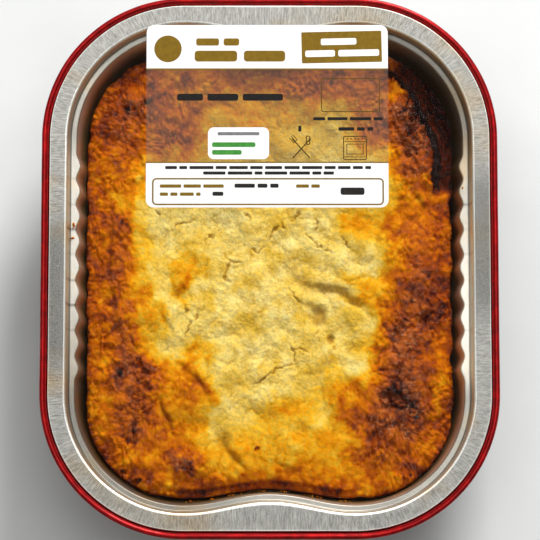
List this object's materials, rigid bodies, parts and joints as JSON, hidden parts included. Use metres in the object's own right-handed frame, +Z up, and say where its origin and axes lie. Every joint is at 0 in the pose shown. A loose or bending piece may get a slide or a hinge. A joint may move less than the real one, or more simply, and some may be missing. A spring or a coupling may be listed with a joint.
{
  "type": "shepherds pie",
  "caption": "Baked shepherd's pie with a browned mashed top, in its own foil tray with rounded corners, a flat flange and a rolled red rim, under clear film with a plain label.",
  "frame": {"origin": "centre of the tray's flat underside, on the surface it stands on", "axes": "+Z up; +Y along the tray's length, towards the end under the label; +X across the tray"},
  "size_m": [0.1224, 0.1464, 0.0366],
  "materials": {
    "foil": "satin",
    "mash": "rough",
    "film": "glossy",
    "label": "satin"
  },
  "bodies": {
    "root": {"tray": "foil", "pie": "mash", "film": "film", "label": "label"}
  },
  "joints": []
}
